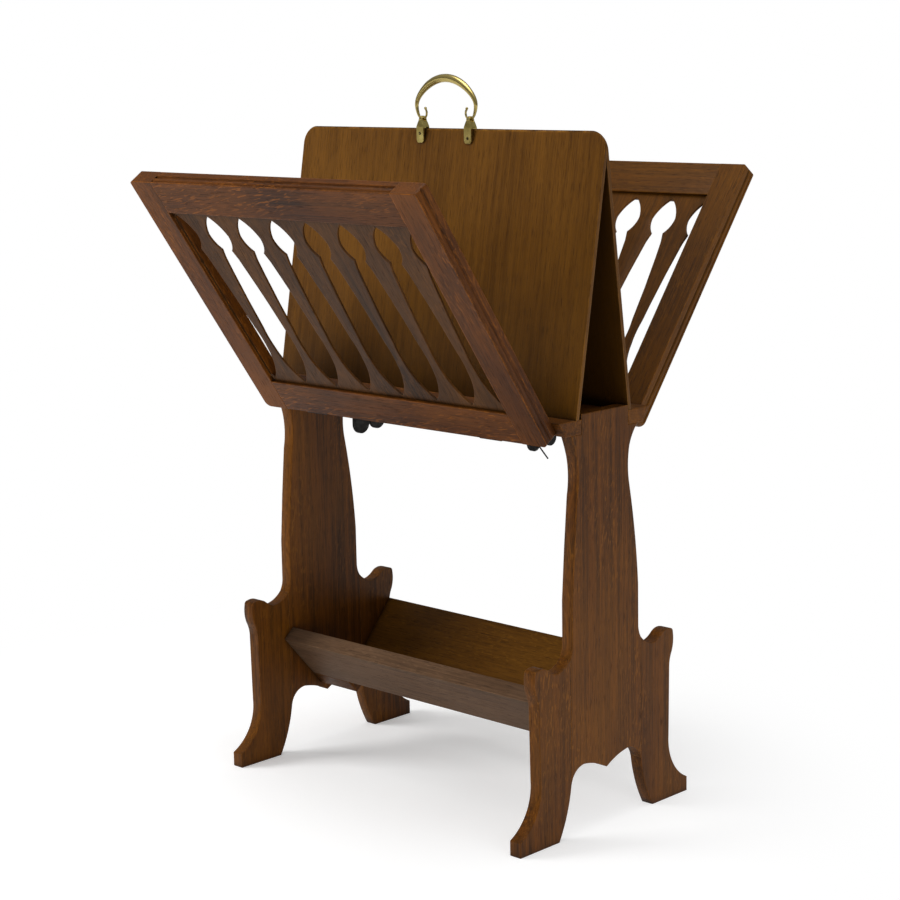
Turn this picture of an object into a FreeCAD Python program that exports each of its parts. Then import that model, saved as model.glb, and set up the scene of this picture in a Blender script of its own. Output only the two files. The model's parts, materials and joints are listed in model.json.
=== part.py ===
"""Oak book stand: two plank ends, a V trough, a shelf, a hollow divider and two folding wings.

X runs along the stand, Y from front to back and Z up. The origin is on the floor, midway
between the ends and midway between the front and rear feet. Lengths are in millimetres.
"""
import FreeCAD, Part
import math
import os
import Sketcher

from FreeCAD import Placement, Rotation, Vector

# Driving dimensions, the only lengths that are typed. Everything else follows from these.
SIZES = {
    # whole stand and its two ends
    "stand_length": 550.0,
    # from the middle of the ends back to the origin, midway between the wings' top edges
    "origin_depth": 6.8,
    "end_board": 18.0,
    "foot_reach": 169.0,
    "horn_height": 239.0,
    "plank_half": 70.0,
    "neck_half": 65.5,
    "shelf_under": 522.5,
    "tongue_half": 45.5,
    "tongue_rise": 25.5,
    # V trough
    "trough_board": 22.5,
    "front_lip_out": 81.0,
    "front_lip_height": 170.5,
    "front_board_width": 82.0,
    "rear_lip_out": 131.0,
    "rear_lip_height": 190.0,
    "rear_board_width": 118.0,
    "cleat_length": 75.0,
    "cleat_width": 24.0,
    # shelf
    "shelf_board": 19.0,
    "shelf_half": 88.0,
    "mortise_clear": 0.4,
    # divider
    "divider_front_foot": 56.0,
    "divider_rear_foot": 52.0,
    "ridge_offset": 6.5,
    "divider_height": 354.0,
    "divider_board": 5.5,
    "divider_round": 23.0,
    "batten_depth": 40.0,
    "batten_end_gap": 25.0,
    # wings
    "wing_end_gap": 13.0,
    "wing_height": 395.0,
    "wing_board": 22.0,
    "wing_below_axis": 23.6,
    "wing_rest_gap": 0.3,
    "stile_width": 42.5,
    "top_rail_width": 50.0,
    "bottom_rail_width": 50.0,
    "wing_top_round": 4.0,
    "wing_bottom_round": 8.0,
    "tenon_length": 30.0,
    "tenon_board": 8.0,
    "tenon_shoulder": 7.0,
    "joint_clear": 0.15,
    "fret_board": 3.0,
    "fret_recess": 4.4,
    "fret_housing": 7.0,
    "quirk_start": 1.3,
    "quirk_width": 3.3,
    "quirk_depth": 1.7,
    "bead_width": 4.4,
    "bead_drop": 0.5,
    "cove_width": 4.6,
    "cove_depth": 2.1,
    # hinges
    "knuckle_radius": 3.0,
    "knuckle_clear": 0.2,
    "hinge_length": 50.0,
    "hinge_inset": 57.0,
    "leaf_width": 22.0,
    "leaf_plate": 1.6,
    "pin_radius": 1.4,
    "pin_clear": 0.05,
    "knuckle_gap": 0.3,
    # stay arms under the shelf
    "arm_inset": 100.0,
    "arm_bar": 5.0,
    "arm_depth": 11.0,
    "arm_foot_plate": 3.0,
    "arm_foot_length": 38.0,
    "arm_foot_width": 18.0,
    "arm_bar_drop": 24.0,
    "front_tab_out": 9.0,
    "rear_tab_out": 22.0,
    "left_tab_radius": 14.0,
    "left_tab_foot": 471.0,
    "right_tab_radius": 11.0,
    "right_tab_foot": 483.0,
    "rear_tab_lift": 3.0,
    "catch_radius": 1.0,
    "catch_length": 26.0,
    # from the middle of the tab that it is fixed to, back and down to the wire's foot
    "catch_reach": 23.4,
    "catch_hang": 23.9,
    # handle
    "lug_place": 43.5,
    "lug_width": 12.8,
    "lug_plate": 2.4,
    "lug_drop": 20.0,
    "lug_shoulder_half": 6.0,
    "lug_foot_round": 5.2,
    "eye_rise": 11.5,
    "eye_radius": 4.6,
    "eye_bore": 3.0,
    "bail_reach": 54.0,
    "bail_rise": 54.0,
    "bail_end_radius": 1.4,
    "bail_grip_radius": 5.5,
    "hook_radius": 8.0,
}

# Angles in degrees, which keep their values when the stand is resized.
ANGLES = {
    "trough_slope": 49.0,
    "front_wing_lean": 34.5,
    "rear_wing_lean": 37.2,
    "catch_lean": 42.0,
}

# Outline of a leg from its inner heel, as shares of foot_reach outward and horn_height upward.
# The second pair of a row is the point that the arc to the next corner passes through.
LEG_SHARES = (
    ((0.559, 0.0), None),
    ((1.0, 0.0), None),
    ((1.0, 0.084), (0.846, 0.172)),
    ((0.766, 0.368), None),
    ((0.775, 0.775), (0.785, 0.815)),
    ((0.806, 0.852), (0.824, 0.904)),
    ((0.820, 0.962), (0.812, 0.978)),
    ((0.790, 0.985), (0.728, 0.988)),
    ((0.669, 0.969), (0.618, 0.946)),
    ((0.568, 0.936), (0.491, 0.953)),
)
LEG_TOP_SHARE = 0.997
ARCH_HIP_SHARE = 0.297
LEG_ARCH_SHARES = (0.461, 0.155)

# Lower edge of the centre plank, as shares of plank_half and horn_height: pendant, crown, hip.
ARCH_PENDANT_SHARE = 0.324
ARCH_CROWN_SHARES = (0.629, 0.387)
ARCH_RISE_SHARES = (0.310, 0.366)
ARCH_FALL_SHARES = (0.880, 0.360)

# Sides of the neck above the horns, as shares of neck_half and shelf_under. The front side is fuller.
NECK_FRONT_SHARES = (
    ((1.0, 0.593), (0.928, 0.718)),
    ((0.834, 0.849), (0.794, 0.903)),
    ((0.840, 0.947), (0.900, 0.971)),
    ((0.992, 1.0), None),
)
NECK_REAR_SHARES = (
    ((1.0, 0.593), (0.908, 0.718)),
    ((0.738, 0.849), (0.696, 0.903)),
    ((0.737, 0.947), (0.830, 0.974)),
    ((0.992, 1.0), None),
)
NECK_START_SHARES = (1.002, 1.071)
NECK_FOOT_SHARES = (1.020, 1.029)

# One fret opening from its upper point down its right side, as shares of the pitch and height.
FRET_SHARES = (
    ((0.0, 0.979), (0.225, 0.925)),
    ((0.322, 0.872), (0.290, 0.832)),
    ((0.158, 0.790), None),
    ((0.215, 0.742), (0.305, 0.560)),
    ((0.375, 0.330), (0.400, 0.270)),
    ((0.385, 0.210), (0.270, 0.100)),
    ((0.0, 0.012), None),
)
# Openings in the row, their pitch and how far the row stands off the middle, as shares of the
# width between the stiles, and how far the ends of the first opening drop at the stile.
FRET_COUNT = 6
FRET_PITCH_SHARE = 0.1415
FRET_SHIFT_SHARE = 0.0097
FRET_END_SHARE = 0.02

# Space left over the batten, as a share of its depth.
BATTEN_GAP_SHARE = 0.2

# Centre line of the bail from the crown down to the eye, as shares of bail_reach and bail_rise,
# and how far the rod has thickened from its end towards its grip.
BAIL_SHARES = (
    ((0.0, 1.0), 1.0),
    ((0.30, 0.958), 0.98),
    ((0.58, 0.838), 0.85),
    ((0.80, 0.675), 0.62),
    ((0.95, 0.500), 0.42),
    ((1.0, 0.350), 0.30),
    ((0.972, 0.185), 0.18),
    ((0.902, 0.047), 0.03),
)
# Stations round the hook below and inside the eye, in half turns from the direction outward.
HOOK_TURN_SHARES = (-0.5, -0.75, -1.0, -1.25)
BAIL_STEPS = 2
RING_SIDES = 20
# Where the lug's eye leaves the shoulders, and how the shoulders and the dome above them bend, as
# shares of eye_radius, of lug_shoulder_half and eye_rise, and of lug_width and eye_rise.
EYE_SIDE_SHARES = (0.96, -0.28)
SHOULDER_BEND_SHARES = (0.92, 0.52)
DOME_FOOT_SHARE = 0.13
DOME_BEND_SHARES = (0.33, 0.66)
DOME_HEAD_SHARES = (0.17, 1.28)


class Size:
    """A dimension that carries its number together with the formula that gives it."""

    def __init__(self, number, formula):
        self.number = number
        self.formula = formula

    def __add__(self, other):
        other = as_size(other)
        return Size(self.number + other.number, f"({self.formula} + {other.formula})")

    def __sub__(self, other):
        other = as_size(other)
        return Size(self.number - other.number, f"({self.formula} - {other.formula})")

    def __mul__(self, other):
        other = as_size(other)
        return Size(self.number * other.number, f"{self.formula} * {other.formula}")

    def __truediv__(self, other):
        other = as_size(other)
        return Size(self.number / other.number, f"{self.formula} / ({other.formula})")

    def __neg__(self):
        return Size(-self.number, f"(0 - {self.formula})")

    __rmul__ = __mul__


def as_size(value):
    """Wrap a plain share or count as a Size."""
    if isinstance(value, Size):
        return value
    return Size(float(value), f"({float(value)!r})")


def sine(angle):
    return Size(math.sin(math.radians(angle.number)), f"sin({angle.formula})")


def cosine(angle):
    return Size(math.cos(math.radians(angle.number)), f"cos({angle.formula})")


doc = FreeCAD.newDocument("book_stand")
sheet = doc.addObject("Spreadsheet::Sheet", "Sizes")
for row, (alias, value) in enumerate({**SIZES, **ANGLES}.items(), start=1):
    sheet.set(f"A{row}", alias)
    sheet.set(f"B{row}", str(value))
    sheet.setAlias(f"B{row}", alias)
doc.recompute()


def size(alias):
    """The value of a cell of the sheet, with its formula."""
    return Size(float(getattr(sheet, alias)), f"Sizes.{alias}")


ZERO = Size(0.0, "0")
HALF = as_size(0.5)
parts = {}


def new_body(label):
    body = doc.addObject("PartDesign::Body", label)
    body.Label = label
    parts[label] = body
    return body


def place(body, along=ZERO, depth=ZERO, up=ZERO, tilt=None):
    """Put a body at a point, turned about X by tilt degrees."""
    angle = tilt.number if tilt else 0
    depth = depth - size("origin_depth")
    body.Placement = Placement(Vector(along.number, depth.number, up.number),
                               Rotation(Vector(1, 0, 0), angle))
    body.setExpression("Placement.Base.x", along.formula)
    body.setExpression("Placement.Base.y", depth.formula)
    body.setExpression("Placement.Base.z", up.formula)
    if tilt:
        body.setExpression("Placement.Rotation.Angle", tilt.formula)


def origin_plane(body, role):
    for feature in body.Origin.OriginFeatures:
        if feature.Role == role:
            return feature
    raise ValueError(role)


def new_sketch(body, name, plane="YZ_Plane", offset=ZERO):
    """A sketch on one of the body's own planes, moved along the plane's normal by offset."""
    sketch = body.newObject("Sketcher::SketchObject", f"{body.Label}_{name}")
    sketch.AttachmentSupport = [(origin_plane(body, plane), "")]
    sketch.MapMode = "FlatFace"
    sketch.AttachmentOffset = Placement(Vector(0, 0, offset.number), Rotation())
    sketch.setExpression("AttachmentOffset.Base.z", offset.formula)
    return sketch


def pinned(index, point, across, up):
    """Constraints that tie both coordinates of a sketch point to their formulas."""
    return [(Sketcher.Constraint("DistanceX", -1, 1, index, point, across.number), across.formula),
            (Sketcher.Constraint("DistanceY", -1, 1, index, point, up.number), up.formula)]


def constrain(sketch, ties):
    """Add constraints, each with its formula or None, in one go."""
    numbers = sketch.addConstraint([tie for tie, formula in ties])
    for number, (tie, formula) in zip(numbers, ties):
        if formula:
            sketch.setExpression(f"Constraints[{number}]", formula)


def arc_through(start, middle, finish):
    """Counter-clockwise arc through three points, and whether it runs from finish to start."""
    a, b, c = start, middle, finish
    turn = 2 * ((b.x - a.x) * (c.y - a.y) - (b.y - a.y) * (c.x - a.x))
    b_square = (b.x - a.x) ** 2 + (b.y - a.y) ** 2
    c_square = (c.x - a.x) ** 2 + (c.y - a.y) ** 2
    centre = Vector(a.x + ((c.y - a.y) * b_square - (b.y - a.y) * c_square) / turn,
                    a.y + ((b.x - a.x) * c_square - (c.x - a.x) * b_square) / turn, 0)
    flipped = turn < 0
    first, last = (finish, start) if flipped else (start, finish)
    begin = math.atan2(first.y - centre.y, first.x - centre.x)
    end = math.atan2(last.y - centre.y, last.x - centre.x)
    if end < begin:
        end += 2 * math.pi
    circle = Part.Circle(centre, Vector(0, 0, 1), centre.distanceToPoint(start))
    return Part.ArcOfCircle(circle, begin, end), flipped


def draw_loop(sketch, corners):
    """Close a loop through corners; each is a point and, for an arc, the point it passes through."""
    count = len(corners)
    first = sketch.GeometryCount
    spots = [Vector(point[0].number, point[1].number, 0) for point, through in corners]
    curves = []
    flips = []
    for number, (point, through) in enumerate(corners):
        finish = spots[(number + 1) % count]
        if through is None:
            curve, flipped = Part.LineSegment(spots[number], finish), False
        else:
            bend = Vector(through[0].number, through[1].number, 0)
            curve, flipped = arc_through(spots[number], bend, finish)
        curves.append(curve)
        flips.append(flipped)
    sketch.addGeometry(curves, False)
    ties = []
    for number, (point, through) in enumerate(corners):
        follower = (number + 1) % count
        ties.append((Sketcher.Constraint("Coincident", first + number, 1 if flips[number] else 2,
                                         first + follower, 2 if flips[follower] else 1), None))
        ties += pinned(first + number, 2 if flips[number] else 1, *point)
    for number, (point, through) in enumerate(corners):
        if through is not None:
            spot = sketch.addGeometry(Part.Point(Vector(through[0].number, through[1].number, 0)), True)
            ties.append((Sketcher.Constraint("PointOnObject", spot, 1, first + number), None))
            ties += pinned(spot, 1, *through)
    constrain(sketch, ties)


def draw_polygon(sketch, points):
    draw_loop(sketch, [(point, None) for point in points])


def draw_circle(sketch, across, up, radius):
    centre = Vector(across.number, up.number, 0)
    index = sketch.addGeometry(Part.Circle(centre, Vector(0, 0, 1), radius.number), False)
    constrain(sketch, pinned(index, 3, across, up)
              + [(Sketcher.Constraint("Radius", index, radius.number), radius.formula)])


def rectangle(low_across, low_up, high_across, high_up):
    return [(low_across, low_up), (high_across, low_up), (high_across, high_up), (low_across, high_up)]


def scaled(pair, across_unit, up_unit):
    return (across_unit * pair[0], up_unit * pair[1])


def mirrored(point):
    return (-point[0], point[1])


def pad(body, name, sketch, length, midplane=False):
    feature = body.newObject("PartDesign::Pad", f"{body.Label}_{name}")
    feature.Profile = sketch
    feature.Length = length.number
    feature.setExpression("Length", length.formula)
    feature.SideType = "Symmetric" if midplane else "One side"
    return feature


def cut(body, name, sketch, length=None, reverse=False):
    """Pocket a sketch one way by length, or both ways far enough to pass through the stand."""
    before = solid_volume(body)
    feature = body.newObject("PartDesign::Pocket", f"{body.Label}_{name}")
    feature.Profile = sketch
    feature.SideType = "One side" if length else "Symmetric"
    length = length or size("stand_length") * 2
    feature.Length = length.number
    feature.setExpression("Length", length.formula)
    feature.Reversed = reverse
    doc.recompute()
    if solid_volume(body) >= before:
        raise RuntimeError(f"{feature.Name} removed nothing")
    return feature


def solid_volume(body):
    doc.recompute()
    return body.Shape.Volume


stand_length = size("stand_length")
half_length = stand_length * HALF
end_board = size("end_board")
inside_half = half_length - end_board
shelf_under = size("shelf_under")
shelf_top = shelf_under + size("shelf_board")
print("document and sheet ready,", len(SIZES), "sizes")


def square_root(value):
    return Size(math.sqrt(value.number), f"sqrt({value.formula})")


def join_sides(right, left):
    """Close an outline from its two sides, both given on the right and run upward from the axis."""
    loop = list(right)
    for number in range(len(left) - 1, 0, -1):
        through = left[number - 1][1]
        loop.append((mirrored(left[number][0]), mirrored(through) if through else None))
    return loop


def flip_loop(corners, sign):
    return [((point[0] * sign, point[1]), (through[0] * sign, through[1]) if through else None)
            for point, through in corners]


# The two ends, each a centre plank with a leg glued on in front and behind.

foot_reach = size("foot_reach")
horn_height = size("horn_height")
plank_half = size("plank_half")
neck_half = size("neck_half")
tongue_half = size("tongue_half")
tongue_top = shelf_under + size("tongue_rise")
arch_hip = (plank_half, horn_height * ARCH_HIP_SHARE)
leg_top = (plank_half, horn_height * LEG_TOP_SHARE)


def plank_side(neck_shares):
    half = [
        ((ZERO, horn_height * ARCH_PENDANT_SHARE), scaled(ARCH_RISE_SHARES, plank_half, horn_height)),
        (scaled(ARCH_CROWN_SHARES, plank_half, horn_height),
         scaled(ARCH_FALL_SHARES, plank_half, horn_height)),
        (arch_hip, None),
        (leg_top, scaled(NECK_FOOT_SHARES, neck_half, horn_height)),
        (scaled(NECK_START_SHARES, neck_half, horn_height), None),
    ]
    for point, through in neck_shares:
        half.append((scaled(point, neck_half, shelf_under),
                     scaled(through, neck_half, shelf_under) if through else None))
    half.append(((tongue_half, shelf_under), None))
    half.append(((tongue_half, tongue_top), None))
    return half


def leg_outline():
    corners = [(scaled(point, foot_reach, horn_height),
                scaled(through, foot_reach, horn_height) if through else None)
               for point, through in LEG_SHARES]
    corners.append((leg_top, None))
    corners.append((arch_hip, scaled(LEG_ARCH_SHARES, foot_reach, horn_height)))
    return corners


for side, along in (("left", -half_length), ("right", inside_half)):
    plank = new_body(f"{side}_end_plank")
    sketch = new_sketch(plank, "outline")
    draw_loop(sketch, join_sides(plank_side(NECK_REAR_SHARES), plank_side(NECK_FRONT_SHARES)))
    pad(plank, "board", sketch, end_board)
    place(plank, along)
    for name, sign in (("front_leg", -1), ("rear_leg", 1)):
        leg = new_body(f"{side}_{name}")
        sketch = new_sketch(leg, "outline")
        draw_loop(sketch, flip_loop(leg_outline(), sign))
        pad(leg, "board", sketch, end_board)
        place(leg, along)
print("ends built")

# The V trough between the ends: a narrow front board, a wide rear board and two cleats.

slope = size("trough_slope")
slope_run = cosine(slope)
slope_fall = sine(slope)
trough_board = size("trough_board")
front_lip = (-size("front_lip_out"), size("front_lip_height"))
rear_lip = (size("rear_lip_out"), size("rear_lip_height"))


def down_slope(start, distance, thickness, inward):
    """A point down the slope from a lip, on the face that lies thickness away from it."""
    return (start[0] + slope_run * distance * inward + slope_fall * thickness,
            start[1] - slope_fall * distance + slope_run * thickness * inward)


def trough_length_board(label, points, along, length):
    board = new_body(label)
    sketch = new_sketch(board, "section")
    draw_polygon(sketch, points)
    pad(board, "board", sketch, length)
    place(board, along)


front_width = size("front_board_width")
trough_length_board("trough_front_board", [
    down_slope(front_lip, ZERO, ZERO, 1),
    down_slope(front_lip, front_width, ZERO, 1),
    down_slope(front_lip, front_width, trough_board, 1),
    down_slope(front_lip, ZERO, trough_board, 1)], -inside_half, inside_half * 2)

rear_width = size("rear_board_width")
trough_length_board("trough_rear_board", [
    rear_lip,
    down_slope(rear_lip, rear_width, ZERO, -1),
    down_slope(rear_lip, rear_width, trough_board, -1),
    down_slope(rear_lip, ZERO, trough_board, -1)], -inside_half, inside_half * 2)

cleat_length = size("cleat_length")
cleat_end = front_width + size("cleat_width")
for side, along in (("left", -inside_half), ("right", inside_half - cleat_length)):
    trough_length_board(f"{side}_trough_cleat", [
        down_slope(front_lip, front_width, ZERO, 1),
        down_slope(front_lip, cleat_end, ZERO, 1),
        down_slope(front_lip, cleat_end, trough_board, 1),
        down_slope(front_lip, front_width, trough_board, 1)], along, cleat_length)
print("trough built")

# Where the two wings hinge and lean: each axis is just clear of the shelf's top and the wing's face.

shelf_half = size("shelf_half")
shelf_board = size("shelf_board")
wing_board = size("wing_board")
knuckle_radius = size("knuckle_radius")
axis_clear = knuckle_radius + size("knuckle_clear")
axis_up = shelf_top + axis_clear


class Wing:
    """Place of one open wing: which way is inward, its lean, its hinge axis and its outer foot."""

    def __init__(self, name, inward):
        self.name = name
        self.inward = inward
        self.lean = size(f"{name}_wing_lean")
        self.run = sine(self.lean)
        self.rise = cosine(self.lean)
        self.axis_out = shelf_half + (size("wing_rest_gap") - axis_clear + axis_clear * self.run) / self.rise
        back = axis_clear + wing_board
        below = size("wing_below_axis")
        self.foot_out = self.axis_out + back * self.rise - below * self.run
        self.foot_up = axis_up - back * self.run - below * self.rise
        recess = size("fret_recess")
        self.fret_near = recess if inward > 0 else wing_board - recess - size("fret_board")
        self.fret_far = self.fret_near + size("fret_board")
        self.groove_near = self.fret_near - size("joint_clear")
        self.groove_far = self.fret_far + size("joint_clear")

    def spot(self, through_board, up_wing):
        """A point in the wing's own directions, as (outward distance, height)."""
        return (self.foot_out - through_board * self.rise + up_wing * self.run,
                self.foot_up + through_board * self.run + up_wing * self.rise)


front_wing = Wing("front", 1)
rear_wing = Wing("rear", -1)
for wing in (front_wing, rear_wing):
    print(wing.name, "hinge axis", round(wing.axis_out.number, 3), round(axis_up.number, 3))

# The shelf, bevelled along both edges to the lean of the open wings and notched for the tongues.

front_bevel = shelf_board * front_wing.run / front_wing.rise
rear_bevel = shelf_board * rear_wing.run / rear_wing.rise
mortise_clear = size("mortise_clear")

shelf = new_body("shelf_board")
sketch = new_sketch(shelf, "section", offset=-half_length)
draw_polygon(sketch, [(-shelf_half + front_bevel, shelf_under), (shelf_half - rear_bevel, shelf_under),
                      (shelf_half, shelf_top), (-shelf_half, shelf_top)])
pad(shelf, "board", sketch, stand_length)
notch_half = tongue_half + mortise_clear
notch_foot = inside_half - mortise_clear
for name, near, far in (("left_notch", -half_length, -notch_foot), ("right_notch", notch_foot, half_length)):
    sketch = new_sketch(shelf, name, "XY_Plane", shelf_under)
    draw_polygon(sketch, rectangle(near, -notch_half, far, notch_half))
    cut(shelf, f"{name}_cut", sketch)
place(shelf)

# The divider: two thin boards leaning together over a batten, with rounded upper corners.

ridge_out = size("ridge_offset")
divider_height = size("divider_height")
divider_board = size("divider_board")
divider_round = size("divider_round")
ridge = shelf_top + divider_height


class Face:
    """One sloping side of the divider, with distances counted outward from under the ridge."""

    def __init__(self, name, sign, foot):
        self.name = name
        self.sign = sign
        self.run = foot - ridge_out * sign
        slope = square_root(self.run * self.run + divider_height * divider_height)
        self.across = divider_height / slope
        self.fall = self.run / slope
        self.thick = divider_board / self.across
        self.drop = divider_board / self.fall

    def inner(self, up):
        """How far the board's inner face is from the ridge's plane at a height."""
        return (ridge - self.drop - up) * self.run / divider_height


front_face = Face("front", -1, size("divider_front_foot"))
rear_face = Face("rear", 1, size("divider_rear_foot"))
# How far the middle of a rounded corner stands in from the square corner, as a share of its radius.
CORNER_SHARE = 0.3


def round_corner(body, name, across, up, radius, across_sign, up_sign, offset=ZERO):
    """Cut a corner of an upright board to a quarter circle."""
    sketch = new_sketch(body, name, "XZ_Plane", offset)
    corner = (across, up)
    beside = (across - radius * across_sign, up)
    below = (across, up - radius * up_sign)
    middle = (across - radius * across_sign * CORNER_SHARE, up - radius * up_sign * CORNER_SHARE)
    draw_loop(sketch, [(corner, None), (beside, middle), (below, None)])
    cut(body, f"{name}_cut", sketch)


for face in (front_face, rear_face):
    board = new_body(f"divider_{face.name}_board")
    sketch = new_sketch(board, "section", offset=-half_length)
    draw_polygon(sketch, [(face.run * face.sign, shelf_top), (ZERO, ridge), (ZERO, ridge - face.drop),
                          ((face.run - face.thick) * face.sign, shelf_top)])
    pad(board, "board", sketch, stand_length)
    round_corner(board, "left_round", -half_length, ridge, divider_round, -1, 1)
    round_corner(board, "right_round", half_length, ridge, divider_round, 1, 1)
    place(board, depth=ridge_out)

batten_depth = size("batten_depth")
batten_length = stand_length - size("batten_end_gap") * 2
batten_top = ridge - rear_face.drop - batten_depth * BATTEN_GAP_SHARE
batten_foot = batten_top - batten_depth
batten = new_body("divider_ridge_batten")
sketch = new_sketch(batten, "section", offset=-batten_length * HALF)
draw_polygon(sketch, [(-front_face.inner(batten_foot), batten_foot), (rear_face.inner(batten_foot), batten_foot),
                      (rear_face.inner(batten_top), batten_top), (-front_face.inner(batten_top), batten_top)])
pad(batten, "board", sketch, batten_length)
place(batten, depth=ridge_out)
print("shelf and divider built")

# The wings: framed boards with moulded edges, each piece drawn from the wing's outer lower arris.

wing_length = stand_length - size("wing_end_gap") * 2
wing_height = size("wing_height")
wing_half = wing_length * HALF
stile_width = size("stile_width")
top_rail_width = size("top_rail_width")
bottom_rail_width = size("bottom_rail_width")
between_half = wing_half - stile_width
fret_foot = bottom_rail_width
fret_height = wing_height - top_rail_width - bottom_rail_width
fret_head = fret_foot + fret_height
joint_clear = size("joint_clear")
tenon_length = size("tenon_length")
tenon_board = size("tenon_board")
tenon_shoulder = size("tenon_shoulder")
tenon_near = (wing_board - tenon_board) * HALF
tenon_far = tenon_near + tenon_board
fret_board = size("fret_board")
fret_housing = size("fret_housing")


def moulded_edge(edge, inward):
    """Points and arcs of the moulding from the outer face to the inner one, at an edge.

    Each row is (distance in from the edge, distance in from the outer face); inward is the
    direction from the edge into the wood.
    """
    quirk_start = size("quirk_start")
    quirk_width = size("quirk_width")
    bead_width = size("bead_width")
    cove_width = size("cove_width")
    bead_edge = edge + size("bead_drop") * inward
    bead_start = quirk_start + quirk_width
    cove_start = bead_start + bead_width
    cove_end = cove_start + cove_width
    return [
        ((edge, ZERO), None),
        ((edge, quirk_start), None),
        ((edge + size("quirk_depth") * inward, quirk_start + quirk_width * HALF), None),
        ((bead_edge, bead_start), (edge, bead_start + bead_width * HALF)),
        ((bead_edge, cove_start), (edge + size("cove_depth") * inward, cove_start + cove_width * HALF)),
        ((edge, cove_end), None),
        ((edge, wing_board), None),
    ]


def swap_loop(corners):
    return [((point[1], point[0]), (through[1], through[0]) if through else None)
            for point, through in corners]


def turn_loop(corners, sign):
    """Point the thickness direction, the second coordinate, inward for a wing."""
    return [((point[0], point[1] * sign), (through[0], through[1] * sign) if through else None)
            for point, through in corners]


def place_wing_piece(body, wing):
    place(body, ZERO, wing.foot_out * -wing.inward, wing.foot_up, wing.lean * wing.inward)


def build_stile(label, wing, side):
    inward = wing.inward
    stile = new_body(label)
    edge = wing_half * side
    shoulder = between_half * side
    section = moulded_edge(edge, -side)
    section.append(((shoulder, wing_board), None))
    section.append(((shoulder, ZERO), None))
    sketch = new_sketch(stile, "section", "XY_Plane")
    draw_loop(sketch, turn_loop(section, inward))
    pad(stile, "board", sketch, wing_height)
    round_corner(stile, "head_round", edge, wing_height, size("wing_top_round"), side, 1)
    round_corner(stile, "foot_round", edge, ZERO, size("wing_bottom_round"), side, -1)
    mortises = (("foot_mortise", tenon_shoulder, bottom_rail_width - tenon_shoulder),
                ("head_mortise", fret_head + tenon_shoulder, wing_height - tenon_shoulder))
    for name, low, high in mortises:
        sketch = new_sketch(stile, name, "YZ_Plane", shoulder)
        draw_polygon(sketch, rectangle((tenon_near - joint_clear) * inward, low - joint_clear,
                                       (tenon_far + joint_clear) * inward, high + joint_clear))
        cut(stile, f"{name}_cut", sketch, tenon_length + joint_clear, reverse=side > 0)
    sketch = new_sketch(stile, "groove", "YZ_Plane", shoulder)
    draw_polygon(sketch, rectangle(wing.groove_near * inward, fret_foot - fret_housing,
                                   wing.groove_far * inward, fret_head + fret_housing))
    cut(stile, "groove_cut", sketch, fret_housing, reverse=side > 0)
    place_wing_piece(stile, wing)


def rail_tenons(rail, inward, low, high):
    sketch = new_sketch(rail, "tenons", "YZ_Plane")
    draw_polygon(sketch, rectangle(tenon_near * inward, low, tenon_far * inward, high))
    pad(rail, "tenon_bar", sketch, (between_half + tenon_length) * 2, midplane=True)


def build_top_rail(label, wing):
    inward = wing.inward
    rail = new_body(label)
    section = swap_loop(moulded_edge(wing_height, -1))
    section.append(((wing_board, fret_head), None))
    section.append(((wing.groove_far, fret_head), None))
    section.append(((wing.groove_far, fret_head + fret_housing), None))
    section.append(((wing.groove_near, fret_head + fret_housing), None))
    section.append(((wing.groove_near, fret_head), None))
    section.append(((ZERO, fret_head), None))
    sketch = new_sketch(rail, "section")
    draw_loop(sketch, flip_loop(section, inward))
    pad(rail, "board", sketch, between_half * 2, midplane=True)
    rail_tenons(rail, inward, fret_head + tenon_shoulder, wing_height - tenon_shoulder)
    place_wing_piece(rail, wing)


def build_bottom_rail(label, wing):
    inward = wing.inward
    rail = new_body(label)
    points = [(ZERO, ZERO), (wing_board, ZERO), (wing_board, fret_foot), (wing.groove_far, fret_foot),
              (wing.groove_far, fret_foot - fret_housing), (wing.groove_near, fret_foot - fret_housing),
              (wing.groove_near, fret_foot), (ZERO, fret_foot)]
    sketch = new_sketch(rail, "section")
    draw_polygon(sketch, [(point[0] * inward, point[1]) for point in points])
    pad(rail, "board", sketch, between_half * 2, midplane=True)
    rail_tenons(rail, inward, tenon_shoulder, bottom_rail_width - tenon_shoulder)
    place_wing_piece(rail, wing)


def fret_side(centre, pitch, sign):
    """The right or left side of an opening, from its upper point down to its lower one."""
    corners = []
    for point, through in FRET_SHARES:
        spot = (centre + pitch * point[0] * sign, fret_foot + fret_height * point[1])
        bend = None
        if through:
            bend = (centre + pitch * through[0] * sign, fret_foot + fret_height * through[1])
        corners.append((spot, bend))
    return corners


def fret_opening(centre, pitch):
    right = fret_side(centre, pitch, 1)
    left = fret_side(centre, pitch, -1)
    loop = right[:-1]
    for number in range(len(left) - 1, 0, -1):
        loop.append((left[number][0], left[number - 1][1]))
    return loop


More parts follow.
